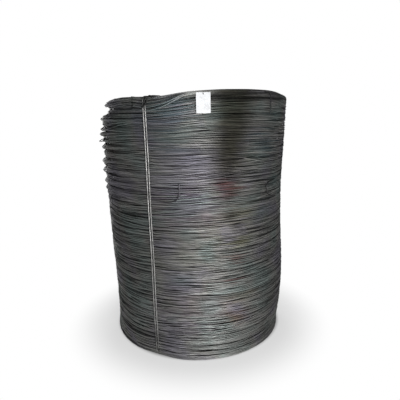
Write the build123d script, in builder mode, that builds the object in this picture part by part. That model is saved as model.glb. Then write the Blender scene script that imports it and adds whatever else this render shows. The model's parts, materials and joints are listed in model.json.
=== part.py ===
"""A coil of hot-rolled steel wire rod, standing on its end.

The rod is one continuous length wound into a thick ring with an open bore. Three doubled tie
wires hold the turns together, and a blank tag hangs from a thin wire at the top edge.
The origin is the centre of the bore on the floor, +Z runs up the bore, and -Y is the front.
"""

from build123d import *
from math import cos, radians, sin, tan
import os

# The coil, in millimetres
rod_diameter = 6.5
coil_height = 1690.0
coil_bore_radius = 425.0
coil_wall_thickness = 200.0
bore_edge_width = 16.0
top_shoulder_radius = 25.0
foot_shoulder_radius = 20.0
shoulder_kinks = 2

# The side is upright from the top down to this share of the height, and then draws in to the foot
foot_taper_share = 0.36
foot_taper_width = 9.0

# The turns that show on each end: flat-topped ridges with V-shaped valleys between them
turns_per_end = 7
turn_crest_share = 0.3

# The doubled tie wires, equally spaced from the first azimuth
tie_names = ("tie_front", "tie_right", "tie_back")
first_tie_azimuth = -26.5
tie_wire_diameter = 6.5
tie_wire_sides = 6
tie_strand_spacing = 16.0
tie_bend_radius = 30.0
tie_bend_kinks = 3
tie_bite_depth = 2.0
tie_clearance = 0.3
tie_cover_depth = 0.5
tie_side_clearance = 1.0

# The hooked end of each tie wire: it lies across both strands and arches over the top edge
hook_start_drop = 84.0
hook_cross_height = 16.0
hook_cross_width = 5.0
hook_lean_width = 10.0
hook_arch_radius = 15.0
hook_arch_kinks = 5
hook_tail_length = 8.0
hook_seat_share = 0.6

# The tag and the thin wire that it hangs from
tag_azimuth = 5.2
tag_width = 81.0
tag_height = 112.0
tag_thickness = 1.0
tag_gap = 0.4
tag_top_drop = 5.0
tag_hole_radius = 3.5
tag_hole_drop = 9.0
tag_wire_diameter = 2.0
tag_wire_sides = 6
tag_wire_ring_radius = 8.0
tag_wire_ring_kinks = 12
tag_wire_ring_turn = 45.0
tag_wire_clearance = 0.4
tag_wire_tunnel_clearance = 0.7

# How far every cutting shape runs past the face that it cuts
cut_overrun = 10.0

coil_outer_radius = coil_bore_radius + coil_wall_thickness
tie_wire_radius = tie_wire_diameter / 2
tag_wire_radius = tag_wire_diameter / 2

# A tie's centre line: the radii of its two upright runs and the heights of its two flat ones
tie_outer_run = coil_outer_radius - tie_bite_depth + tie_clearance + tie_wire_radius
tie_bore_run = coil_bore_radius + tie_cover_depth + tie_wire_radius
tie_top_run = coil_height - tie_cover_depth - tie_wire_radius
tie_foot_run = tie_cover_depth + tie_wire_radius
tie_loop_width = tie_outer_run - tie_bore_run
tie_loop_height = tie_top_run - tie_foot_run
tie_loop_radius = (tie_outer_run + tie_bore_run) / 2
tie_loop_level = (tie_top_run + tie_foot_run) / 2
tie_azimuths = [first_tie_azimuth + 360 * number / len(tie_names) for number in range(len(tie_names))]

# The tag hangs against the coil's side. Its wire's ring runs through the tag's hole and round
# the coil's top shoulder, turned about the hole so that it stays near the coil's top.
tag_back = coil_outer_radius + tag_gap
tag_top = coil_height - tag_top_drop
tag_hole_height = tag_top - tag_hole_drop
ring_turn = radians(tag_wire_ring_turn)
ring_wire_reach = tag_wire_radius / cos(ring_turn) + tag_thickness / 2 * tan(ring_turn)
ring_hole_height = tag_hole_height + tag_hole_radius - ring_wire_reach - tag_wire_clearance
ring_centre_radius = tag_back + tag_thickness / 2 - tag_wire_ring_radius * sin(ring_turn)
ring_centre_height = ring_hole_height + tag_wire_ring_radius * cos(ring_turn)


def outwards(azimuth):
    """The level direction away from the bore axis at an azimuth from the front."""
    return Vector(sin(radians(azimuth)), -cos(radians(azimuth)), 0)


def sideways(azimuth):
    """The level direction to the right at an azimuth, as seen from outside the coil."""
    return Vector(cos(radians(azimuth)), sin(radians(azimuth)), 0)


def radial_plane(azimuth, shift=0.0):
    """The upright plane through the bore axis with x outwards and y up, shifted sideways."""
    right = sideways(azimuth)
    return Plane(origin=right * shift, x_dir=outwards(azimuth), z_dir=-right)


def tangent_plane(azimuth, radius):
    """The upright plane that touches a circle of the radius, with x to the right and y up."""
    out = outwards(azimuth)
    return Plane(origin=out * radius, x_dir=sideways(azimuth), z_dir=out)


def arc_points(centre_x, centre_y, radius, first_angle, last_angle, kinks):
    """Kinks that follow an arc from outside, so that the straights between them touch it."""
    turn = (last_angle - first_angle) / kinks
    reach = radius / cos(radians(turn / 2))
    angles = [radians(first_angle + turn * (kink + 0.5)) for kink in range(kinks)]
    return [(centre_x + reach * cos(angle), centre_y + reach * sin(angle)) for angle in angles]


def bent_wire(points, plane, diameter, sides, closed):
    """A wire of a few flat sides, bent at each point of a path in one plane."""
    with BuildPart() as wire:
        with BuildLine(plane) as wire_line:
            Polyline(*points, close=closed)
        path = wire_line.wire()
        with BuildSketch(Plane(origin=path @ 0, z_dir=path % 0)) as wire_section:
            RegularPolygon(diameter / 2, sides)
        sweep(path=path, transition=Transition.RIGHT)
    return wire.part


def end_outline(inner_radius, outer_radius, crest_height, valley_height):
    """Points of one end's outline, from the bore's edge to the shoulder: a ridge for each turn."""
    pitch = (outer_radius - inner_radius) / turns_per_end
    half_valley = (1 - turn_crest_share) * pitch / 2
    points = [(inner_radius, crest_height)]
    for turn in range(1, turns_per_end):
        valley_radius = inner_radius + turn * pitch
        points.append((valley_radius - half_valley, crest_height))
        points.append((valley_radius, valley_height))
        points.append((valley_radius + half_valley, crest_height))
    points.append((outer_radius, crest_height))
    return points


# The coil: one turned solid, with the turns showing as ridges on both ends
bore_edge_radius = coil_bore_radius + bore_edge_width
foot_edge_radius = coil_outer_radius - foot_taper_width - foot_shoulder_radius
top_edge_radius = coil_outer_radius - top_shoulder_radius
top_shoulder_height = coil_height - top_shoulder_radius
foot_outline = end_outline(bore_edge_radius, foot_edge_radius, 0, rod_diameter)
top_outline = end_outline(bore_edge_radius, top_edge_radius, coil_height, coil_height - rod_diameter)
wall_outline = [
    (coil_bore_radius, bore_edge_width),
    *foot_outline,
    *arc_points(foot_edge_radius, foot_shoulder_radius, foot_shoulder_radius, -90, 0, shoulder_kinks),
    (coil_outer_radius, foot_taper_share * coil_height),
    *arc_points(top_edge_radius, top_shoulder_height, top_shoulder_radius, 0, 90, shoulder_kinks),
    *reversed(top_outline),
    (coil_bore_radius, coil_height - bore_edge_width),
]

ring_centre = outwards(tag_azimuth) * ring_centre_radius + Vector(0, 0, ring_centre_height)
ring_section_plane = Plane(origin=ring_centre, x_dir=outwards(tag_azimuth), z_dir=(0, 0, 1))

with BuildPart() as rod_coil:
    with BuildSketch(Plane.XZ) as wall_section:
        with BuildLine():
            Polyline(*wall_outline, close=True)
        make_face()
    revolve(axis=Axis.Z)

    # Each tie lies in a channel that it has pressed into the turns
    inner_margin = tie_wire_radius + tie_clearance
    outer_margin = tie_wire_radius + cut_overrun
    for azimuth in tie_azimuths:
        with BuildSketch(radial_plane(azimuth)) as channel_outline:
            with Locations((tie_loop_radius, tie_loop_level)):
                Rectangle(tie_loop_width + 2 * outer_margin, tie_loop_height + 2 * outer_margin)
                RectangleRounded(
                    tie_loop_width - 2 * inner_margin,
                    tie_loop_height - 2 * inner_margin,
                    tie_bend_radius - inner_margin,
                    mode=Mode.SUBTRACT,
                )
        channel_half_width = tie_strand_spacing / 2 + tie_wire_radius + tie_side_clearance
        extrude(amount=channel_half_width, both=True, mode=Mode.SUBTRACT)

    # The tag's wire passes through the shoulder, under the outermost turns
    with BuildSketch(ring_section_plane) as tunnel_section:
        with Locations((tag_wire_ring_radius, 0)):
            RegularPolygon(tag_wire_radius + tag_wire_tunnel_clearance, tag_wire_sides)
    revolve(axis=Axis(ring_centre, sideways(tag_azimuth)), mode=Mode.SUBTRACT)

# The tag: a bare plate with one hole, hung against the side of the coil
with BuildPart() as tag:
    with BuildSketch(tangent_plane(tag_azimuth, tag_back)) as tag_outline:
        with Locations((0, tag_top - tag_height / 2)):
            Rectangle(tag_width, tag_height)
        with Locations((0, tag_hole_height)):
            Circle(tag_hole_radius, mode=Mode.SUBTRACT)
    extrude(amount=tag_thickness)

# The tag's wire: a ring bent by hand through the tag's hole and the tunnel in the shoulder
ring_path = [
    (tag_wire_ring_radius, 0),
    *arc_points(0, 0, tag_wire_ring_radius, 0, 360, tag_wire_ring_kinks),
]
ring_path_plane = Plane(origin=ring_centre, x_dir=outwards(tag_azimuth), z_dir=-sideways(tag_azimuth))
tag_wire = bent_wire(ring_path, ring_path_plane, tag_wire_diameter, tag_wire_sides, True)


def make_tie(azimuth):
    """One doubled tie wire: two closed strands and the hooked end that lies across them."""
    half_spacing = tie_strand_spacing / 2
    outer_bend = tie_outer_run - tie_bend_radius
    bore_bend = tie_bore_run + tie_bend_radius
    top_bend = tie_top_run - tie_bend_radius
    foot_bend = tie_foot_run + tie_bend_radius
    strand_path = [
        (tie_outer_run, tie_loop_level),
        *arc_points(outer_bend, top_bend, tie_bend_radius, 0, 90, tie_bend_kinks),
        *arc_points(bore_bend, top_bend, tie_bend_radius, 90, 180, tie_bend_kinks),
        *arc_points(bore_bend, foot_bend, tie_bend_radius, 180, 270, tie_bend_kinks),
        *arc_points(outer_bend, foot_bend, tie_bend_radius, 270, 360, tie_bend_kinks),
    ]

    arch_centre = half_spacing + hook_lean_width + hook_arch_radius
    arch_height = tie_top_run - hook_arch_radius
    cross_start_height = coil_height - hook_start_drop
    hook_path = [
        (-half_spacing - hook_cross_width, cross_start_height),
        (half_spacing, cross_start_height + hook_cross_height),
        *arc_points(arch_centre, arch_height, hook_arch_radius, 180, 0, hook_arch_kinks),
        (arch_centre + hook_arch_radius, arch_height - hook_tail_length),
    ]
    hook_plane = tangent_plane(azimuth, tie_outer_run + hook_seat_share * tie_wire_diameter)

    wires = [bent_wire(hook_path, hook_plane, tie_wire_diameter, tie_wire_sides, False)]
    for shift in (-half_spacing, half_spacing):
        strand_plane = radial_plane(azimuth, shift)
        wires.append(bent_wire(strand_path, strand_plane, tie_wire_diameter, tie_wire_sides, True))
    with BuildPart() as tie:
        add(wires)
    return tie.part


rod_coil.part.label = "rod_coil"
tag.part.label = "tag"
tag_wire.label = "tag_wire"

os.makedirs("parts", exist_ok=True)
export_step(rod_coil.part, "parts/rod_coil.step")
export_step(tag.part, "parts/tag.step")
export_step(tag_wire, "parts/tag_wire.step")
for name, azimuth in zip(tie_names, tie_azimuths):
    tie_part = make_tie(azimuth)
    tie_part.label = name
    export_step(tie_part, f"parts/{name}.step")
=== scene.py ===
import json
import math

import bpy
import numpy as np
from mathutils import Euler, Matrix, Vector

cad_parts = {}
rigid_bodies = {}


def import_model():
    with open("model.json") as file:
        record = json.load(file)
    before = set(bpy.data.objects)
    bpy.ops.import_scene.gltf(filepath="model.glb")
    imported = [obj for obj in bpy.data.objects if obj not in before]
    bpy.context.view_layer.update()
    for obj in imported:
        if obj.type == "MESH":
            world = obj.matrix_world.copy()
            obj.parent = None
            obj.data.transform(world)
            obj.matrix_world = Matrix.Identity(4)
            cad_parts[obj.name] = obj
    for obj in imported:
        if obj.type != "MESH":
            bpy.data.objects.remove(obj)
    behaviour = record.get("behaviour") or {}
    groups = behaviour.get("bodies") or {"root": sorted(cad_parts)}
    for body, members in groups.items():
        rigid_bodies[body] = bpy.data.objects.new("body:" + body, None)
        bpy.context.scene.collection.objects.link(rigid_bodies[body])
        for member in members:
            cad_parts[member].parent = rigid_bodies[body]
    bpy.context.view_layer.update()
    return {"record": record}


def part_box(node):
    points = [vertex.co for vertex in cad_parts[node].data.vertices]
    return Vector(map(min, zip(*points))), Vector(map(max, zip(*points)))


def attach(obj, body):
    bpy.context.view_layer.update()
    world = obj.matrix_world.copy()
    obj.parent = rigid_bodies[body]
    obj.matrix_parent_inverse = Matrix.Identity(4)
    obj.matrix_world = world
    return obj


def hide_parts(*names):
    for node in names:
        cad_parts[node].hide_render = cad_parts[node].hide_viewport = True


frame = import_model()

# The rod: one unbroken length of hot-rolled 6.5 mm steel. It drops turn on turn into a round tub,
# each turn a little smaller than the tub and off its middle, so that it touches the outer wall on
# one side and the bore on the other. The heap is then pressed, and stands on its end.
rod_radius = 0.00325
rod_sides = 5
coil_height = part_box("rod_coil")[1][2]
outer_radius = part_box("rod_coil")[1][0]
bore_radius = frame["record"]["mounts"][0]["dims"]["r_mm"] / 1000
wall_thickness = outer_radius - bore_radius
ties = {"tie_back": -146.5, "tie_front": -26.5, "tie_right": 93.5}

turns = 1860
steps_per_turn = 96
segments_per_turn = 46.6
turn_radius = outer_radius - wall_thickness / 2
turn_radius_spread = 0.005
offset_spread = 0.013
lay_advance = 0.13
lay_advance_spread = 0.05
rng = np.random.default_rng(11)


def lay_turns():
    """The rod seen from above: its radius and its azimuth from the front, step by step."""
    knots = turns + 2
    advance = np.cumsum(rng.normal(lay_advance, lay_advance_spread, knots))
    radius = rng.normal(turn_radius, turn_radius_spread, knots)
    offset = outer_radius - turn_radius - rod_radius - np.abs(rng.normal(0, offset_spread, knots))
    time = np.arange(turns * steps_per_turn) / steps_per_turn
    knot = time.astype(int)
    part = time - knot
    eased = part * part * (3 - 2 * part)
    direction = 2 * np.pi * ((1 - part) * advance[knot] + part * advance[knot + 1])
    off_centre = (1 - eased) * offset[knot] + eased * offset[knot + 1]
    own_radius = (1 - eased) * radius[knot] + eased * radius[knot + 1]
    too_wide = np.maximum(off_centre + own_radius - (outer_radius - rod_radius), 0)
    off_centre = off_centre - too_wide / 2
    own_radius = own_radius - too_wide / 2
    x = off_centre * np.cos(direction) + own_radius * np.cos(2 * np.pi * time)
    y = off_centre * np.sin(direction) + own_radius * np.sin(2 * np.pi * time)
    return np.hypot(x, y), np.arctan2(x, -y)


def blur(values, steps):
    """Evens out values round the coil, as the rod's stiffness does."""
    reach = int(3 * steps)
    shape = np.exp(-0.5 * (np.arange(-reach, reach + 1) / steps) ** 2)
    ring = np.concatenate([values[-reach:], values, values[:reach]])
    return np.convolve(ring, shape / shape.sum(), mode="valid")


def heap_turns(radius, azimuth):
    """Each turn rests on the highest turns under it. The height of each step is given as its share
    of the whole heap's height at that place."""
    nested_rise = 1.74 * rod_radius
    stiffness_steps = 4
    bridge_steps = 2
    first_cell = bore_radius - 4 * rod_radius
    cell = np.clip(np.round((radius - first_cell) / rod_radius).astype(int), 1, None)
    column = np.round((azimuth / (2 * np.pi)) % 1 * steps_per_turn).astype(int) % steps_per_turn
    heap = np.full((steps_per_turn, cell.max() + 2), -rod_radius)
    height = np.zeros(len(radius))
    for turn in range(turns):
        part = slice(turn * steps_per_turn, (turn + 1) * steps_per_turn)
        here, across = column[part], cell[part]
        beside = np.maximum(heap[here, across - 1], heap[here, across + 1])
        rest = np.maximum(heap[here, across] + 2 * rod_radius, beside + nested_rise)
        level = rest.copy()
        for step in range(1, bridge_steps + 1):
            level = np.maximum(level, np.maximum(np.roll(rest, step), np.roll(rest, -step)))
        level = blur(level, stiffness_steps)
        height[part] = level
        heap[here, across] = np.maximum(heap[here, across], level)

    top_turns = 60
    smooth_round = 5
    smooth_across = 8
    top = np.zeros((steps_per_turn, cell.max() + 2))
    weight = np.zeros((steps_per_turn, cell.max() + 2))
    last = slice(-top_turns * steps_per_turn, None)
    np.add.at(top, (column[last], cell[last]), height[last])
    np.add.at(weight, (column[last], cell[last]), 1)
    for array in (top, weight):
        for step in range(array.shape[1]):
            array[:, step] = blur(array[:, step], smooth_round)
        for step in range(array.shape[0]):
            padded = np.pad(array[step], smooth_across, mode="edge")
            array[step] = np.convolve(padded, np.hanning(2 * smooth_across + 1), mode="valid")
    share = height / (top / np.maximum(weight, 1e-9))[column, cell]
    share = share / np.percentile(share, 99.7)

    # Rods that stand proud of the rest are pressed down
    free_share = 0.985
    spare = 1 - free_share
    pressed_share = free_share + spare * np.tanh((share - free_share) / spare)
    return np.where(share > free_share, pressed_share, share)


def round_the_coil(azimuth, *places):
    """A value set at azimuths from the front, in degrees, read at other azimuths."""
    degrees, values = zip(*places)
    return np.interp(np.degrees(azimuth), degrees, values, period=360)


def up_the_coil(height, *places):
    """A value set at heights in metres, read at other heights."""
    heights, values = zip(*places)
    return np.interp(height, heights, values)


def ramp(value, start, end):
    """0 up to the start, 1 from the end on and even between them. The end may be the lower one."""
    return np.clip((value - start) / (end - start), 0, 1)


def near_ties(azimuth, width):
    """1 at each tie wire, falling to 0 within a few widths of it, in degrees."""
    total = 0
    for tie in ties.values():
        away = (np.degrees(azimuth) - tie + 180) % 360 - 180
        total = total + np.exp(-0.5 * (away / width) ** 2)
    return total


def outline_radius(azimuth, height):
    """The radius that the pressed coil has at an azimuth and a height."""
    right = up_the_coil(
        height, (0, 0.616), (0.04, 0.611), (0.12, 0.622), (0.21, 0.635), (0.3, 0.642), (0.35, 0.645),
        (0.45, 0.646), (0.54, 0.645), (0.6, 0.641), (0.7, 0.634), (0.8, 0.627), (0.9, 0.624), (1.03, 0.621),
        (1.1, 0.621), (1.25, 0.629), (1.4, 0.638), (1.6, 0.646), (1.69, 0.646),
    )
    left = up_the_coil(
        height, (0, 0.628), (0.12, 0.616), (0.23, 0.618), (0.35, 0.617), (0.54, 0.622), (0.6, 0.626),
        (0.8, 0.631), (0.9, 0.633), (1.03, 0.634), (1.1, 0.637), (1.25, 0.641), (1.4, 0.643), (1.56, 0.642),
        (1.585, 0.612), (1.61, 0.586), (1.635, 0.592), (1.66, 0.608), (1.69, 0.610),
    )
    front = up_the_coil(
        height, (0, 0.636), (0.04, 0.634), (0.14, 0.627), (0.6, 0.628), (0.85, 0.628), (1.2, 0.627),
        (1.69, 0.626),
    )
    tied_radius = 0.6235
    sine = np.sin(azimuth)
    pressed = front * (1 - sine ** 2) + np.where(sine > 0, right, left) * sine ** 2
    tied = near_ties(azimuth, 8)
    return pressed * (1 - tied) + tied_radius * tied


# The turns spring apart on the left, in groups with gaps between them that close at the ties.
# On the right the groups only show as dark lines of painted shade, which begin at their own azimuths.
groups = 60
group_edges = np.cumsum(rng.uniform(0.026, 0.056, groups)) - 0.02
group_bulge = rng.uniform(0.5, 1.2, groups + 1)
group_shift = rng.uniform(-0.004, 0.004, groups + 1)
group_closes = rng.uniform(-36, 14, groups + 1)
right_edges = np.cumsum(rng.uniform(0.022, 0.06, groups)) - 0.02
right_starts = rng.uniform(2, 62, groups + 1)


def shape_coil(radius, azimuth, share):
    """Points of the rod in the pressed coil, from its place in the heap, and its tone there."""
    degrees = np.degrees(azimuth)
    wall = (radius - bore_radius) / wall_thickness

    # The top edge dips on the left and towards the right, and both ends give way to the ties
    edge_rise = round_the_coil(
        azimuth, (-170, 0.004), (-146.5, -0.012), (-125, -0.004), (-100, -0.018), (-77, -0.036),
        (-62, -0.032), (-55, -0.021), (-36, -0.019), (-26.5, -0.024), (-16, -0.024), (-12, -0.019),
        (-5.5, -0.008), (-1.4, -0.001), (6.7, 0.008), (10, 0.011), (24, 0.011), (37, 0.0085),
        (44, 0.0065), (48, 0.0035), (52.4, -0.003), (58, -0.0105), (67, -0.021), (77, -0.032),
        (93.5, -0.034), (110, -0.018), (130, 0.0), (160, 0.008),
    )
    inner_rise = -0.009 * near_ties(azimuth, 14)
    foot_rise = 0.0075 * near_ties(azimuth, 6)
    rise = inner_rise + ramp(wall, 0.6, 0.95) * (edge_rise - inner_rise)
    height = rod_radius + share * (coil_height - 2 * rod_radius)
    height = height + rise * share ** 6 + foot_rise * (1 - share) ** 40

    # Pressing brings the outer turns to one outline, most on both sides and at the foot
    evened_right = np.clip(1.15 * np.sin(azimuth), 0, 0.92) ** 2
    evened_left = np.clip(-1.15 * np.sin(azimuth), 0, 0.9) ** 2
    evened_left = evened_left * np.maximum(ramp(height, 1.42, 1.22), 0.3)
    evened = np.clip(evened_right + evened_left + 0.7 * ramp(height, 0.06, 0), 0, 0.85)
    wall = wall + (1 - wall) * evened * ramp(wall, 0.5, 0.8)
    spare = outline_radius(azimuth, height) - outer_radius
    pulled_in = 0.009 * near_ties(azimuth, 7)
    radius = bore_radius + wall * (wall_thickness + spare) + (1 - wall) * pulled_in

    # On the left, between two ties, each group draws together and bulges, most near the top
    between_ties = ramp(degrees, ties["tie_back"], ties["tie_front"])
    loose = np.sin(np.pi * between_ties) ** 1.3 * np.clip(wall, 0, 1) ** 4
    loose = loose * up_the_coil(
        height, (0, 0.05), (0.8, 0.12), (1.0, 0.2), (1.15, 0.35), (1.3, 0.9), (1.69, 1.0),
    )
    group = np.searchsorted(group_edges, height)
    low = group_edges[group - 1]
    half = (group_edges[group] - low) / 2
    place = (height - low) / half - 1
    off_middle = np.abs(place)
    drawn_in = place * 0.6 + np.sign(place) * 0.4 * off_middle ** 6
    height = height + loose * half * (drawn_in - place)
    bulge_reach = 0.025
    gap_depth = 0.012
    bulge = group_bulge[group] * bulge_reach * (1 - off_middle ** 2.4) - gap_depth + group_shift[group]
    radius = radius + loose * bulge

    # Painted light and shade: each group of the left is lighter in its middle and darker at its edges, and a
    # dark line of painted shade lies in each gap. Low down there the rods are also uneven in tone
    line_fade = 14
    outside = ramp(wall, 0.75, 1)
    tone = loose * (0.2 * (1 - off_middle) - 0.16 * off_middle ** 3)
    low_left = ramp(degrees, -22, -42) * ramp(height, 1.1, 0.9)
    left_shade_line = ramp(off_middle, 0.72, 0.92)
    open_left = ramp(degrees, group_closes[group], group_closes[group] - line_fade) * outside
    open_left = open_left * ramp(degrees, -110, -90) * ramp(height, 0.05, 0.25)
    tone = tone + open_left * (0.07 * low_left * (1 - left_shade_line) - (0.15 + 0.22 * low_left) * left_shade_line)
    turn = np.arange(len(share)) // steps_per_turn
    tone = tone + 0.36 * low_left * np.sin(2.4 * turn)

    # A dark line of painted shade, about one rod wide, lies at the top of each group of the right
    right_group = np.searchsorted(right_edges, height)
    rods_below = (right_edges[right_group] - height) / (2 * rod_radius)
    right_shade_line = ramp(rods_below, 1.5, 0.5)
    open_right = ramp(degrees, right_starts[right_group], right_starts[right_group] + line_fade) * outside
    open_right = open_right * ramp(degrees, 120, 100) * ramp(height, 0.2, 0.7)
    tone = tone + open_right * (0.045 * (1 - right_shade_line) - 0.37 * right_shade_line)

    # Painted light and shade: the crest is darker as painted shade, a strip right of the front is lighter low
    # down as a painted highlight, and one beside it is darker as painted shade
    crest_painted_shade = round_the_coil(
        azimuth, (-12, 0), (0, 0.17), (48, 0.17), (62, 0.05), (120, 0.05), (150, 0),
    )
    painted_highlight_strip = round_the_coil(azimuth, (2, 0), (16, 0.09), (28, 0.08), (38, 0))
    right_painted_shade = round_the_coil(azimuth, (38, 0), (50, 0.09), (62, 0.06), (80, 0))
    tone = tone - crest_painted_shade * ramp(share, 0.955, 0.985)
    tone = tone + painted_highlight_strip * ramp(height, 1.4, 1.1) - right_painted_shade
    return np.stack([radius * np.sin(azimuth), -radius * np.cos(azimuth), height], axis=-1), tone


def reached_along(points):
    """How far along its line each point lies."""
    return np.concatenate([[0], np.cumsum(np.linalg.norm(np.diff(points, axis=0), axis=1))])


plan_radius, plan_azimuth = lay_turns()
heap_share = heap_turns(plan_radius, plan_azimuth)
fine_path, fine_tone = shape_coil(plan_radius, plan_azimuth, heap_share)
steps = np.arange(len(fine_path))
wanted = np.arange(0, turns * steps_per_turn - 1, steps_per_turn / segments_per_turn)
rod_radii = np.interp(wanted, steps, np.hypot(fine_path[:, 0], fine_path[:, 1]))
rod_azimuths = np.interp(wanted, steps, np.unwrap(plan_azimuth))
rod_path = np.stack([
    rod_radii * np.sin(rod_azimuths),
    -rod_radii * np.cos(rod_azimuths),
    np.interp(wanted, steps, fine_path[:, 2]),
], axis=1)
rod_lay = np.stack([
    np.interp(wanted, steps, reached_along(fine_path)),
    wanted // steps_per_turn,
    np.interp(wanted, steps, fine_tone),
], axis=1)


def round_tube(name, path, radius, sides, lay, closed=False):
    """A round rod or wire along a path. For its colour, lay holds each point's place along the rod
    in metres, the turn's number and how much lighter it is."""
    if closed:
        along = np.roll(path, -1, axis=0) - np.roll(path, 1, axis=0)
    else:
        along = np.gradient(path, axis=0)
    along = along / np.linalg.norm(along, axis=1, keepdims=True)
    inward = np.stack([-path[:, 0], -path[:, 1], np.full(len(path), 1e-4)], axis=1)
    across = inward - along * np.sum(inward * along, axis=1, keepdims=True)
    across = across / np.linalg.norm(across, axis=1, keepdims=True)
    upward = np.cross(along, across)
    angles = 2 * np.pi * (np.arange(sides) + 0.5) / sides
    points = path[:, None, :] + radius * (
        np.cos(angles)[None, :, None] * across[:, None, :]
        + np.sin(angles)[None, :, None] * upward[:, None, :]
    )
    count = len(path)
    segments = np.arange(count if closed else count - 1)[:, None]
    side = np.arange(sides)[None, :]
    after_side = (side + 1) % sides
    first = segments * sides
    second = (segments + 1) % count * sides
    quads = np.stack([first + side, first + after_side, second + after_side, second + side], axis=2)
    quads = quads.reshape(-1, 4)
    loops = quads.ravel()
    totals = np.full(len(quads), 4)
    if not closed:
        caps = np.stack([np.arange(sides)[::-1], (count - 1) * sides + np.arange(sides)])
        loops = np.concatenate([loops, caps.ravel()])
        totals = np.concatenate([totals, np.full(2, sides)])
    starts = np.cumsum(totals) - totals
    mesh = bpy.data.meshes.new(name)
    mesh.vertices.add(count * sides)
    mesh.vertices.foreach_set("co", points.astype(np.float32).ravel())
    mesh.loops.add(len(loops))
    mesh.loops.foreach_set("vertex_index", loops.astype(np.int32))
    mesh.polygons.add(len(starts))
    mesh.polygons.foreach_set("loop_start", starts.astype(np.int32))
    mesh.polygons.foreach_set("loop_total", totals.astype(np.int32))
    mesh.update(calc_edges=True)
    mesh.validate()
    mesh.shade_smooth()
    attribute = mesh.attributes.new("lay", "FLOAT_VECTOR", "POINT")
    attribute.data.foreach_set("vector", np.repeat(lay, sides, axis=0).astype(np.float32).ravel())
    piece = bpy.data.objects.new(name, mesh)
    bpy.context.scene.collection.objects.link(piece)
    return piece


def linear(hex_code):
    """An sRGB hex colour as the linear colour that a shader takes."""
    values = [int(hex_code[place:place + 2], 16) / 255 for place in (1, 3, 5)]
    return [v / 12.92 if v <= 0.04045 else ((v + 0.055) / 1.055) ** 2.4 for v in values] + [1.0]


def new_finish(name, metallic=0.0):
    """A material and the sockets of its shader."""
    material = bpy.data.materials.new(name)
    material.use_nodes = True
    sockets = material.node_tree.nodes["Principled BSDF"].inputs
    sockets["Metallic"].default_value = metallic
    return material, sockets


def join(material, source, socket):
    """Links a node's output to an input."""
    material.node_tree.links.new(source, socket)


def add_node(material, kind, inputs=None, **settings):
    """Adds a node with its settings. Each of its inputs is a value or another node's output."""
    node = material.node_tree.nodes.new(kind)
    for name, value in settings.items():
        setattr(node, name, value)
    for socket, value in (inputs or {}).items():
        if isinstance(value, bpy.types.NodeSocket):
            join(material, value, node.inputs[socket])
        else:
            node.inputs[socket].default_value = value
    return node


def work_out(material, operation, *terms):
    """A sum, a product or the like of numbers and outputs."""
    return add_node(material, "ShaderNodeMath", dict(enumerate(terms)), operation=operation).outputs[0]


def work_out_vector(material, operation, *terms):
    """The same for vectors. A length is a number."""
    node = add_node(material, "ShaderNodeVectorMath", dict(enumerate(terms)), operation=operation)
    return node.outputs["Value" if operation == "LENGTH" else "Vector"]


def add_noise(material, vector, scale, detail=2.0, roughness=0.5):
    """Noise of a scale, between 0 and 1."""
    inputs = {"Vector": vector, "Scale": scale, "Detail": detail, "Roughness": roughness}
    return add_node(material, "ShaderNodeTexNoise", inputs).outputs["Fac"]


def add_ramp(material, value, start, end, at_start=0.0, at_end=1.0, kind="LINEAR"):
    """A number that goes from one value to another while its input goes from the start to the end."""
    inputs = {"Value": value, "From Min": start, "From Max": end, "To Min": at_start, "To Max": at_end}
    return add_node(material, "ShaderNodeMapRange", inputs, interpolation_type=kind).outputs["Result"]


def add_colours(material, value, *stops):
    """A colour for each input value, from two or more positions with their hex colours, in order."""
    node = add_node(material, "ShaderNodeValToRGB", {"Fac": value})
    elements = node.color_ramp.elements
    elements[0].position = stops[0][0]
    elements[1].position = stops[-1][0]
    elements[0].color = linear(stops[0][1])
    elements[1].color = linear(stops[-1][1])
    for position, hex_code in stops[1:-1]:
        elements.new(position).color = linear(hex_code)
    return node.outputs["Color"]


def mix_colours(material, blend, share, under, over):
    """One colour laid over another."""
    inputs = {"Factor": share, 6: under, 7: over}
    return add_node(material, "ShaderNodeMix", inputs, data_type="RGBA", blend_type=blend).outputs[2]


def add_bump(material, height, strength, depth):
    """Fine relief of a depth in metres."""
    inputs = {"Strength": strength, "Distance": depth, "Height": height}
    return add_node(material, "ShaderNodeBump", inputs).outputs["Normal"]


# Mill scale: the oxide skin of hot-rolled steel, dark grey with a blue or violet cast and half
# matt, with a dull metal sheen where handling has rubbed it. The tone changes along each rod.
mill_scale_steel, scale_shader = new_finish("mill_scale_steel", metallic=0.75)

# In the noise the turns lie far apart, so that each has patches and flecks of its own
turn_spacing = 7.3
# The tone set with each point is added in: besides the rods' own tone it holds painted light and shade
lay = add_node(mill_scale_steel, "ShaderNodeAttribute", attribute_name="lay").outputs["Vector"]
set_lighter = add_node(mill_scale_steel, "ShaderNodeSeparateXYZ", {0: lay}).outputs["Z"]
patch_lay = work_out_vector(mill_scale_steel, "MULTIPLY", lay, (1.4, turn_spacing, 0))
rod_tone = add_noise(mill_scale_steel, patch_lay, 1.0, 3.0, 0.65)
fleck_lay = work_out_vector(mill_scale_steel, "MULTIPLY", lay, (28, turn_spacing, 0))
flecks = add_noise(mill_scale_steel, fleck_lay, 1.0, 4.0, 0.6)
mixed_tone = work_out(mill_scale_steel, "MULTIPLY_ADD", flecks, 0.3, rod_tone)
whole_tone = work_out(mill_scale_steel, "ADD", mixed_tone, set_lighter)
scale_colour = add_colours(
    mill_scale_steel, whole_tone, (0.26, "#303030"), (0.44, "#4A4A4A"), (0.78, "#9A9A99"),
)

# The cast of the scale: violet and green-blue patches a few hands wide
place = add_node(mill_scale_steel, "ShaderNodeTexCoord").outputs["Object"]
cast_noise = add_noise(mill_scale_steel, place, 4.0, 2.5, 0.55)
cast = add_colours(mill_scale_steel, cast_noise, (0.36, "#F4F0FF"), (0.5, "#FFFEFA"), (0.66, "#EAF9F6"))
coloured = mix_colours(mill_scale_steel, "MULTIPLY", 1.0, scale_colour, cast)
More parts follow.
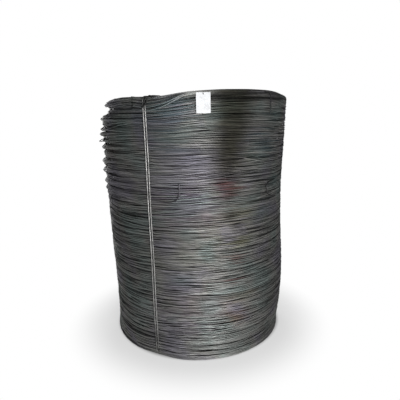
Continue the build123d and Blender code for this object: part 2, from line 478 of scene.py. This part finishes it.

# One brown-black band runs down from the top, which narrows on its right and has ragged edges
position = add_node(mill_scale_steel, "ShaderNodeSeparateXYZ", {0: place}).outputs
to_front = work_out(mill_scale_steel, "MULTIPLY", position["Y"], -1.0)
azimuth_here = work_out(mill_scale_steel, "ARCTAN2", position["X"], to_front)
ragged_azimuth = work_out(mill_scale_steel, "MULTIPLY_ADD", rod_tone, 0.22, azimuth_here)
ragged_height = work_out(mill_scale_steel, "MULTIPLY_ADD", rod_tone, 0.5, position["Z"])
narrowing = work_out(mill_scale_steel, "MULTIPLY_ADD", position["Z"], -0.4, ragged_azimuth)
band_share = 1.0
for value, start, end in (
    (ragged_azimuth, 0.18, 0.43), (narrowing, 0.22, -0.08), (ragged_height, 1.14, 1.60),
):
    edge = add_ramp(mill_scale_steel, value, start, end, kind="SMOOTHSTEP")
    band_share = work_out(mill_scale_steel, "MULTIPLY", band_share, edge)
finish_colour = mix_colours(mill_scale_steel, "MULTIPLY", band_share, coloured, linear("#878579"))

# Spots of rust; light grey spots, which are painted light; dark grey spots, partly dark scale and partly
# painted shade; and weak tints of the cast over them. Each has its azimuth in degrees, its height in metres
# and its reach along the rods. A spot is lower than wide,
# # and ends at another place on each rod.
spots_and_painted_light = (
    (20, 1.13, 0.11, "#653B36", 0.7), (15, 1.165, 0.07, "#653B36", 0.45), (24, 0.694, 0.08, "#85554E", 0.45),
    (22, 0.528, 0.07, "#85554E", 0.32), (24, 0.27, 0.10, "#8A683F", 0.36), (26, 0.78, 0.10, "#84845C", 0.45),
    (-9, 0.56, 0.12, "#627A76", 0.3), (-14, 1.43, 0.16, "#66797A", 0.38), (-13, 1.53, 0.12, "#6B6A82", 0.38),
    (-62, 1.35, 0.12, "#6A5550", 0.25), (84, 0.60, 0.07, "#6F6B3C", 0.5), (43, 1.38, 0.17, "#5F7278", 0.42),
    (46, 1.20, 0.08, "#6C5E70", 0.3), (42, 0.95, 0.14, "#5F7472", 0.3), (-12, 1.60, 0.17, "#667C80", 0.4),
    (-3, 1.33, 0.17, "#78778F", 0.25), (26, 0.98, 0.13, "#8A8870", 0.3), (27, 0.42, 0.14, "#8A8870", 0.3),
    (56, 1.12, 0.13, "#566A6A", 0.4), (52, 1.55, 0.14, "#566A6A", 0.35), (20, 0.955, 0.065, "#2C2924", 0.7),
    (24, 0.90, 0.05, "#2C2924", 0.6), (-14, 1.21, 0.27, "#A4A4A2", 0.56), (-13, 0.925, 0.16, "#A0A09E", 0.42),
    (-14, 0.67, 0.20, "#A0A09E", 0.45), (2, 0.11, 0.32, "#A0A09E", 0.28), (30, 0.745, 0.16, "#A0A09E", 0.2),
    (19, 1.02, 0.15, "#3A3936", 0.36), (62, 0.32, 0.30, "#3A3936", 0.5), (-66, 1.66, 0.12, "#3A3936", 0.3),
    (-37, 0.26, 0.20, "#A0A09E", 0.4),
)
tints = (
    (-45, 1.55, 0.32, "#E8FFFF", 0.35), (-20, 1.55, 0.32, "#E8FFFF", 0.25), (0, 1.50, 0.24, "#E8FFFF", 0.3),
    (-11, 1.17, 0.32, "#E8E2FF", 0.5), (-3, 1.03, 0.32, "#F4DCF2", 0.65), (-15, 0.25, 0.24, "#E8E2FF", 0.45),
    (22, 0.90, 0.28, "#FFFDE8", 0.5), (20, 1.27, 0.26, "#FFFDE8", 0.5), (44, 1.25, 0.22, "#E8FFFF", 0.3),
    (6, 0.38, 0.38, "#FFEBF1", 0.55), (-14, 0.70, 0.30, "#FFFFF4", 0.5),
)
spot_flatness = 1.8
for blend, rows in (("MIX", spots_and_painted_light), ("MULTIPLY", tints)):
    for azimuth, height, reach, spot_colour, strength in rows:
        turn = math.radians(azimuth)
        middle = (outer_radius * math.sin(turn), -outer_radius * math.cos(turn), height)
        from_middle = work_out_vector(mill_scale_steel, "SUBTRACT", place, middle)
        flattened = work_out_vector(mill_scale_steel, "MULTIPLY", from_middle, (1, 1, spot_flatness))
        distance = work_out_vector(mill_scale_steel, "LENGTH", flattened)
        ragged = work_out(mill_scale_steel, "MULTIPLY_ADD", rod_tone, 3.0 * reach, distance)
        spot = add_ramp(mill_scale_steel, ragged, 1.5 * reach, 2.6 * reach, strength, 0.0, "SMOOTHSTEP")
        finish_colour = mix_colours(mill_scale_steel, blend, spot, finish_colour, linear(spot_colour))
join(mill_scale_steel, finish_colour, scale_shader["Base Color"])
sheen = add_ramp(mill_scale_steel, whole_tone, 0.45, 0.9, 0.62, 0.52)
join(mill_scale_steel, sheen, scale_shader["Roughness"])

# The skin of the scale: fine pits and flakes, drawn 3 mm wide, coarser than real, so that they show
flakes = add_noise(mill_scale_steel, place, 333.0, 3.0, 0.6)
join(mill_scale_steel, add_bump(mill_scale_steel, flakes, 0.35, 0.0003), scale_shader["Normal"])


def finish_rod(piece):
    """Gives a piece of the rod its finish and lets it ride on the coil."""
    piece.data.materials.append(mill_scale_steel)
    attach(piece, "root")


rod_lengths = 6
points_each = len(rod_path) // rod_lengths + 1
for number in range(rod_lengths):
    part = slice(number * points_each, (number + 1) * points_each + 1)
    piece = round_tube(f"rod_turns_{number + 1}", rod_path[part], rod_radius, rod_sides, rod_lay[part])
    finish_rod(piece)
    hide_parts("rod_coil")

# The loose turns: the last turns laid, sprung out from under the front tie wire. They rise over
# the side to the top edge, lie along it past the tag, and drop again towards the right tie wire.


def through(wanted_at, at, values, softness=0.07):
    """Smooth values through a few set ones, without overshooting them."""
    half_count = 200
    fine_at = np.linspace(at[0], at[-1], 2 * half_count + 1)
    fine = np.interp(fine_at, at, values)
    reach = max(1, int(softness * half_count))
    shape = np.hanning(2 * reach + 3)
    padded = np.concatenate([np.full(reach + 1, fine[0]), fine, np.full(reach + 1, fine[-1])])
    return np.interp(wanted_at, fine_at, np.convolve(padded, shape / shape.sum(), mode="valid"))


loose_step = 1.6
loose_sides = 7


def lay_loose_rod(name, azimuths, radii, heights, tone, number):
    """A loose piece of the rod along azimuths in degrees, with its radius and height at each. It
    has its tone on the left and is darker on the right as painted shade. Its number sets where its flecks
    lie."""
    azimuth = np.arange(azimuths[0], azimuths[-1], loose_step)
    at_radius = through(azimuth, azimuths, radii)
    at_height = through(azimuth, azimuths, heights)
    turn = np.radians(azimuth)
    path = np.stack([at_radius * np.sin(turn), -at_radius * np.cos(turn), at_height], axis=1)
    tones = tone * ramp(azimuth, 4, -8) - 0.18 * ramp(azimuth, -2, 6)
    lay_values = np.stack([turn * outer_radius, np.full(len(turn), number), tones], axis=1)
    finish_rod(round_tube(name, path, rod_radius, loose_sides, lay_values))
    return path


loose_paths = []
bundle_azimuths = [-36, -27, -22, -15, -8, -2, 5, 15, 30, 45, 52, 60, 67, 77, 93.5, 101]
bundle_radii = np.array([
    0.612, 0.6195, 0.6265, 0.6305, 0.6305, 0.6265, 0.6205, 0.6235, 0.6265, 0.631, 0.634, 0.637, 0.639, 0.641,
    0.632, 0.612,
])
row_depth = 0.0045
# The tones in this table are painted light and shade: lighter turns as lit rods, darker ones as shaded rods
for number, (at_tie, halfway, at_tag, at_right, tone, row) in enumerate((
    (1.664, 1.675, 1.693, 1.643, -0.06, 0), (1.656, 1.671, 1.686, 1.652, 0.12, 1),
    (1.648, 1.666, 1.691, 1.646, -0.30, 0), (1.640, 1.661, 1.681, 1.640, 0.16, 1),
    (1.632, 1.658, 1.688, 1.649, -0.28, 0), (1.623, 1.648, 1.679, 1.634, 0.10, 1),
    (1.613, 1.647, 1.692, 1.637, 0.20, 0), (1.604, 1.634, 1.674, 1.630, -0.28, 1),
    (1.594, 1.636, 1.686, 1.626, 0.18, 0), (1.622, 1.640, 1.668, 1.622, -0.10, 1),
)):
    at_front = at_tag + 0.004
    heights = [
        at_tie + 0.012, at_tie, at_tie + 0.06 * (halfway - at_tie), 0.45 * at_tie + 0.55 * halfway,
        0.3 * halfway + 0.7 * (halfway + at_tag) / 2, at_tag - 0.004, at_tag, at_front, at_front,
        at_front - 0.004, at_front - 0.011, 0.55 * at_front + 0.45 * at_right,
        0.3 * at_front + 0.7 * at_right, at_right, at_right - 0.004, at_right - 0.004,
    ]
    radii = bundle_radii - row_depth * row
    loose_paths.append(
        lay_loose_rod(f"loose_turn_{number + 1}", bundle_azimuths, radii, heights, tone, 4000 + number)
    )

# Single loops that stick out a little on the loosened side, each from one tie wire to the next.
# Most lie in threes. The one that reaches out most lies alone.
strand_lift = 0.0068
strand_depth = 0.005
lone_reach = 0.662
for number, (height, reach, tip, droop) in enumerate((
    (1.643, 0.612, -80, 0.004), (1.545, 0.648, -84, -0.006), (1.462, 0.658, -78, 0.012),
    (1.424, 0.665, -77, 0.020), (1.372, 0.650, -75, 0.006), (1.282, 0.654, -77, 0.010),
    (1.222, 0.654, -77, 0.014), (1.145, 0.648, -76, 0.010), (1.092, 0.645, -78, 0.008),
)):
    for strand in (0,) if reach > lone_reach else (-1, 0, 1):
        out = reach - strand_depth * abs(strand)
        azimuths = [-138, -128, -112, tip - 8, tip, tip + 8, -56, -42, -30]
        radii = [
            0.580, min(0.605, out - 0.03), min(0.628, out - 0.01), out - 0.005, out, out - 0.005,
            min(0.632, out - 0.01), min(0.610, out - 0.03), 0.575,
        ]
        dip = np.array([0.2, 0.2, 0.2, -0.8, -1, -0.8, 0.1, 0.2, 0.2]) * droop
        spread = np.array([0.4, 0.4, 0.5, 1, 1.1, 1, 0.5, 0.4, 0.4]) * strand_lift * strand
        name = f"stray_loop_{3 * number + strand + 2}"
        # The loops' lighter tone is painted light on the rods that stand out
        lay_loose_rod(name, azimuths, radii, height + dip + spread, 0.16, 4100 + number)

# The rod's two ends: the last turn's end is bent down over the side, and the first turn's end
# comes out of the side below and is bent up. On the right one turn is folded back on itself.
end_step = 0.005
end_sides = 10
# Their dark tones are painted shade: each shows as a thin dark line
for name, tone, points in (
    ("rod_end_upper", -0.45, (
        (34, 0.6235, 1.690), (41, 0.629, 1.6865), (45.4, 0.638, 1.681), (46.5, 0.6415, 1.664),
        (46.6, 0.6415, 1.60), (46.7, 0.6405, 1.552),
    )),
    ("rod_end_lower", -0.55, (
        (-25, 0.616, 1.066), (-17, 0.627, 1.065), (-12.5, 0.631, 1.068), (-9.6, 0.6315, 1.084),
        (-8.8, 0.6315, 1.110), (-8.5, 0.6315, 1.180),
    )),
    ("folded_turn", -0.36, (
        (72, 0.600, 1.150), (62, 0.621, 1.1495), (52, 0.629, 1.146), (47, 0.631, 1.140),
        (45.2, 0.6315, 1.125), (45.3, 0.6315, 1.105), (45.8, 0.6315, 1.085), (47.4, 0.631, 1.060),
        (52, 0.629, 1.042), (60, 0.610, 1.030),
    )),
):
    corners = np.array([
        (radius * math.sin(math.radians(azimuth)), -radius * math.cos(math.radians(azimuth)), height)
        for azimuth, radius, height in points
    ])
    reached = reached_along(corners)
    along = np.arange(0, reached[-1], end_step)
    path = np.stack([through(along, reached, corners[:, axis], 0.10) for axis in range(3)], axis=1)
    lay_values = np.stack([along, np.full(len(along), 4300), np.full(len(along), tone)], axis=1)
    finish_rod(round_tube(name, path, rod_radius, end_sides, lay_values))

# The tie wires: soft steel wire as thick as the rod, doubled and drawn tight through the bore and
# round the wall, so that each strand runs straight from one proud turn to the next. One end is
# hooked: it lies across both strands and arches over the top edge.
wire_radius = 0.00325
strand_spacing = 0.016
strand_sides = 8
floor_gap = 0.0005
sway_width = 0.0012
plane_width = 0.03
crossing_points = np.concatenate([rod_path, *loose_paths])


def convex_outline(points):
    """The line of a string drawn tight round points in a plane, back to its start."""
    points = points[np.lexsort((points[:, 1], points[:, 0]))]
    outline = []
    for ordered in (points, points[::-1]):
        chain = []
        for point in ordered:
            while len(chain) > 1 and (
                (chain[-1][0] - chain[-2][0]) * (point[1] - chain[-2][1])
                - (chain[-1][1] - chain[-2][1]) * (point[0] - chain[-2][0])
            ) <= 0:
                chain.pop()
            chain.append(point)
        outline += chain[:-1]
    return np.array(outline + [outline[0]])


def in_tie_plane(turn, outwards, across, height):
    """Points beside the upright plane at a tie, from their distance outwards and across it."""
    return np.stack([
        outwards * math.sin(turn) + across * math.cos(turn),
        -outwards * math.cos(turn) + across * math.sin(turn),
        height,
    ], axis=1)


def taut_strand(tie_azimuth, shift):
    """The line of a taut wire round everything that crosses the upright plane at a tie."""
    turn = math.radians(tie_azimuth)
    outwards = crossing_points[:, 0] * math.sin(turn) - crossing_points[:, 1] * math.cos(turn)
    beside = crossing_points[:, 0] * math.cos(turn) + crossing_points[:, 1] * math.sin(turn) - shift
    near = (outwards > 0) & (np.abs(beside) < plane_width)
    centres = np.stack([outwards[near], crossing_points[near, 2]], axis=1)
    angles = np.linspace(0, 2 * np.pi, 16, endpoint=False)
    ring = (rod_radius + wire_radius) * np.stack([np.cos(angles), np.sin(angles)], axis=1)
    outline = convex_outline((centres[:, None, :] + ring[None, :, :]).reshape(-1, 2))
    outline[:, 1] = np.maximum(outline[:, 1], wire_radius + floor_gap)
    reached = reached_along(outline)
    at = np.linspace(0, reached[-1], 400, endpoint=False)
    out, height = [blur(np.interp(at, reached, outline[:, axis]), 1.2) for axis in range(2)]
    sway = shift + sway_width * np.sin(at * 9 + tie_azimuth + 40 * shift)
    return in_tie_plane(turn, out, sway, height), at


# Rubbed drawn wire: light grey and smooth, with the dark drawing skin left on it in places
tie_wire_steel, wire_shader = new_finish("tie_wire_steel", metallic=0.6)
wire_lay = add_node(tie_wire_steel, "ShaderNodeAttribute", attribute_name="lay").outputs["Vector"]
wire_lighter = add_node(tie_wire_steel, "ShaderNodeSeparateXYZ", {0: wire_lay}).outputs["Z"]
streak_lay = work_out_vector(tie_wire_steel, "MULTIPLY", wire_lay, (22, turn_spacing, 0))
streaks = add_noise(tie_wire_steel, streak_lay, 1.0, 3.0, 0.6)
rubbed = work_out(tie_wire_steel, "ADD", streaks, wire_lighter)
wire_colour = add_colours(tie_wire_steel, rubbed, (0.12, "#2E2E2D"), (0.62, "#A6A5A3"))
join(tie_wire_steel, wire_colour, wire_shader["Base Color"])
wire_gloss = add_ramp(tie_wire_steel, rubbed, 0.2, 0.7, 0.55, 0.36)
join(tie_wire_steel, wire_gloss, wire_shader["Roughness"])
wire_place = add_node(tie_wire_steel, "ShaderNodeTexCoord").outputs["Object"]
scratches = add_noise(tie_wire_steel, wire_place, 400.0, 3.0, 0.6)
join(tie_wire_steel, add_bump(tie_wire_steel, scratches, 0.25, 0.0003), wire_shader["Normal"])


def finish_wire(piece, node_name):
    """Gives a piece of a tie wire its finish, and lets it stand for the tie's solid."""
    piece.data.materials.append(tie_wire_steel)
    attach(piece, "root")
    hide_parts(node_name)


hook_middle = 0.046
hook_radius = 0.0145
hook_lift = 2.1 * wire_radius
hook_step = 0.002
hook_sides = 12
for node_name, tie_azimuth in ties.items():
    turn = math.radians(tie_azimuth)
    outer_line, edge_height = 0, 0
    for strand, shift in (("left", -strand_spacing / 2), ("right", strand_spacing / 2)):
        path, at = taut_strand(tie_azimuth, shift)
        from_axis = np.hypot(path[:, 0], path[:, 1])
        outer_line = max(outer_line, from_axis.max())
        edge_height = max(edge_height, path[from_axis > from_axis.max() - 0.02, 2].max())
        # The strands are darker near the foot and over the top edge, and inside the bore they are darkened as
        # painted shade
        dark_ends = up_the_coil(path[:, 2], (0.10, -0.26), (0.26, 0.0), (1.60, 0.0), (1.635, -0.42))
        bore_painted_shade = -0.1 * (from_axis < outer_radius - 0.05)
        lay_values = np.stack([at, np.full(len(at), shift * 1000), dark_ends + bore_painted_shade], axis=1)
        name = f"{node_name}_{strand}_strand"
        piece = round_tube(name, path, wire_radius, strand_sides, lay_values, closed=True)
        finish_wire(piece, node_name)

    arch_height = edge_height - 0.011
    corners = [(-0.013, arch_height - 0.056), (0.010, arch_height - 0.036), (0.0295, arch_height - 0.010)]
    corners += [
        (hook_middle - hook_radius * math.cos(angle), arch_height + hook_radius * math.sin(angle))
        for angle in np.linspace(0, math.pi, 9)
    ]
    corners.append((hook_middle + hook_radius, arch_height - 0.008))
    corners = np.array(corners)
    reached = reached_along(corners)
    along = np.arange(0, reached[-1], hook_step)
    across, height = [through(along, reached, corners[:, axis], 0.06) for axis in range(2)]
    path = in_tie_plane(turn, outer_line + hook_lift, across, height)
    lay_values = np.stack([along, np.full(len(along), 90), np.full(len(along), -0.5)], axis=1)
    finish_wire(round_tube(f"{node_name}_hook", path, wire_radius, hook_sides, lay_values), node_name)

# The tag: a blank sheet of white coated card, punched with one hole and hung against the side.
# Handling has creased and greyed it a little.
white_coated_card, card_shader = new_finish("white_coated_card")
card_shader["IOR"].default_value = 1.5
card_place = add_node(white_coated_card, "ShaderNodeTexCoord").outputs["Object"]
smudges = add_noise(white_coated_card, card_place, 28.0, 4.0, 0.55)
card_colour = add_colours(white_coated_card, smudges, (0.3, "#BEBFC1"), (0.52, "#CDCFD1"))
join(white_coated_card, card_colour, card_shader["Base Color"])
card_gloss = add_ramp(white_coated_card, smudges, 0.0, 1.0, 0.62, 0.42)
join(white_coated_card, card_gloss, card_shader["Roughness"])
creases = add_node(
    white_coated_card, "ShaderNodeTexVoronoi", {"Scale": 18.0, "Vector": card_place},
    feature="DISTANCE_TO_EDGE",
).outputs["Distance"]
crease_height = add_ramp(white_coated_card, creases, 0.0, 0.06)
join(white_coated_card, add_bump(white_coated_card, crease_height, 0.3, 0.0006), card_shader["Normal"])

# The tag's wire: soft black annealed iron wire, bent by hand into a ring that runs through the
# tag's hole and round one turn of the rod.
annealed_iron_wire, annealed_shader = new_finish("annealed_iron_wire", metallic=0.7)
annealed_place = add_node(annealed_iron_wire, "ShaderNodeTexCoord").outputs["Object"]
soot = add_noise(annealed_iron_wire, annealed_place, 300.0, 3.0)
annealed_colour = add_colours(annealed_iron_wire, soot, (0.0, "#2A2A2B"), (1.0, "#6C6A68"))
join(annealed_iron_wire, annealed_colour, annealed_shader["Base Color"])
annealed_gloss = add_ramp(annealed_iron_wire, soot, 0.0, 1.0, 0.4, 0.65)
join(annealed_iron_wire, annealed_gloss, annealed_shader["Roughness"])

for node_name, material in (("tag", white_coated_card), ("tag_wire", annealed_iron_wire)):
    for thing in bpy.data.objects:
        if thing.name == node_name:
            thing.data.materials.clear()
            thing.data.materials.append(material)

# The floor and the white backdrop of a plain studio. The floor is white to the camera away from
# the coil, and keeps the coil's soft shadow near it.
bpy.ops.mesh.primitive_plane_add(size=40)
floor = bpy.context.object
floor.name = "floor"
white_floor_paint, floor_shader = new_finish("white_floor_paint")
floor_shader["Roughness"].default_value = 0.9
floor_place = add_node(white_floor_paint, "ShaderNodeTexCoord").outputs["Object"]
floor_mottle = add_noise(white_floor_paint, floor_place, 6.0)
floor_colour = add_colours(white_floor_paint, floor_mottle, (0.0, "#BEBEBE"), (1.0, "#C6C6C6"))
join(white_floor_paint, floor_colour, floor_shader["Base Color"])
from_coil = work_out_vector(white_floor_paint, "LENGTH", floor_place)
fade = add_ramp(white_floor_paint, from_coil, 0.64, 1.05, 0.6, 1.0, "SMOOTHSTEP")
clear_of_coil = add_ramp(white_floor_paint, from_coil, 0.60, 0.645, kind="SMOOTHSTEP")
seen_white = work_out(white_floor_paint, "MULTIPLY", fade, clear_of_coil)
to_camera = add_node(white_floor_paint, "ShaderNodeLightPath").outputs["Is Camera Ray"]
white_share = work_out(white_floor_paint, "MULTIPLY", seen_white, to_camera)
white_glow = add_node(white_floor_paint, "ShaderNodeEmission", {"Strength": 1.0}).outputs[0]
floor_nodes = white_floor_paint.node_tree.nodes
painted = floor_nodes["Principled BSDF"].outputs[0]
seen_floor = add_node(
    white_floor_paint, "ShaderNodeMixShader", {0: white_share, 1: painted, 2: white_glow},
).outputs[0]
join(white_floor_paint, seen_floor, floor_nodes["Material Output"].inputs["Surface"])
floor.data.materials.append(white_floor_paint)

# The room: white to the camera, and only a little light from all sides
room_light = 0.075
world = bpy.data.worlds.new("studio")
bpy.context.scene.world = world
world.use_nodes = True
background = world.node_tree.nodes["Background"].inputs
background["Color"].default_value = (1, 1, 1, 1)
straight_to_camera = add_node(world, "ShaderNodeLightPath").outputs["Is Camera Ray"]
join(world, add_ramp(world, straight_to_camera, 0.0, 1.0, room_light, 1.0), background["Strength"])

# One large soft lamp stands beside the camera, and weaker ones behind, above and left of the coil
lamp_size = 1.4
lit_point = Vector((0, 0, 0.8))
for name, lamp_place, watts in (
    ("softbox", (0.66, -3.75, 0.95), 144), ("back_softbox", (-0.2, 3.8, 2.4), 62),
    ("top_softbox", (0.2, 0.9, 4.4), 45), ("left_softbox", (-2.4, 2.9, 1.4), 18),
):
    lamp_data = bpy.data.lights.new(name, "AREA")
    lamp_data.shape = "RECTANGLE"
    lamp_data.size = lamp_size
    lamp_data.size_y = lamp_size
    lamp_data.energy = watts
    lamp = bpy.data.objects.new(name, lamp_data)
    lamp.location = lamp_place
    lamp.rotation_euler = (lit_point - lamp.location).to_track_quat("-Z", "Y").to_euler()
    bpy.context.scene.collection.objects.link(lamp)

# The camera stands at eye height in front of the coil
camera_distance = 2.8954
camera_height = 1.5726
camera_pitch = math.radians(14.663)
camera_roll = math.radians(-1.464)
focal_pixels = 393.61
image_size = 400
middle_x = 196.02
middle_y = 216.43
sensor_width = 36
camera_data = bpy.data.cameras.new("camera")
camera_data.sensor_width = sensor_width
camera_data.lens = sensor_width * focal_pixels / image_size
camera_data.shift_x = (image_size / 2 - middle_x) / image_size
camera_data.shift_y = (middle_y - image_size / 2) / image_size
camera = bpy.data.objects.new("camera", camera_data)
camera.location = (0, -camera_distance, camera_height)
tilted = Euler((math.pi / 2 - camera_pitch, 0, 0)).to_matrix()
rolled = Euler((0, 0, camera_roll)).to_matrix()
camera.rotation_euler = (tilted @ rolled).to_euler()
bpy.context.scene.collection.objects.link(camera)
bpy.context.scene.camera = camera
bpy.context.scene.view_settings.view_transform = "Standard"
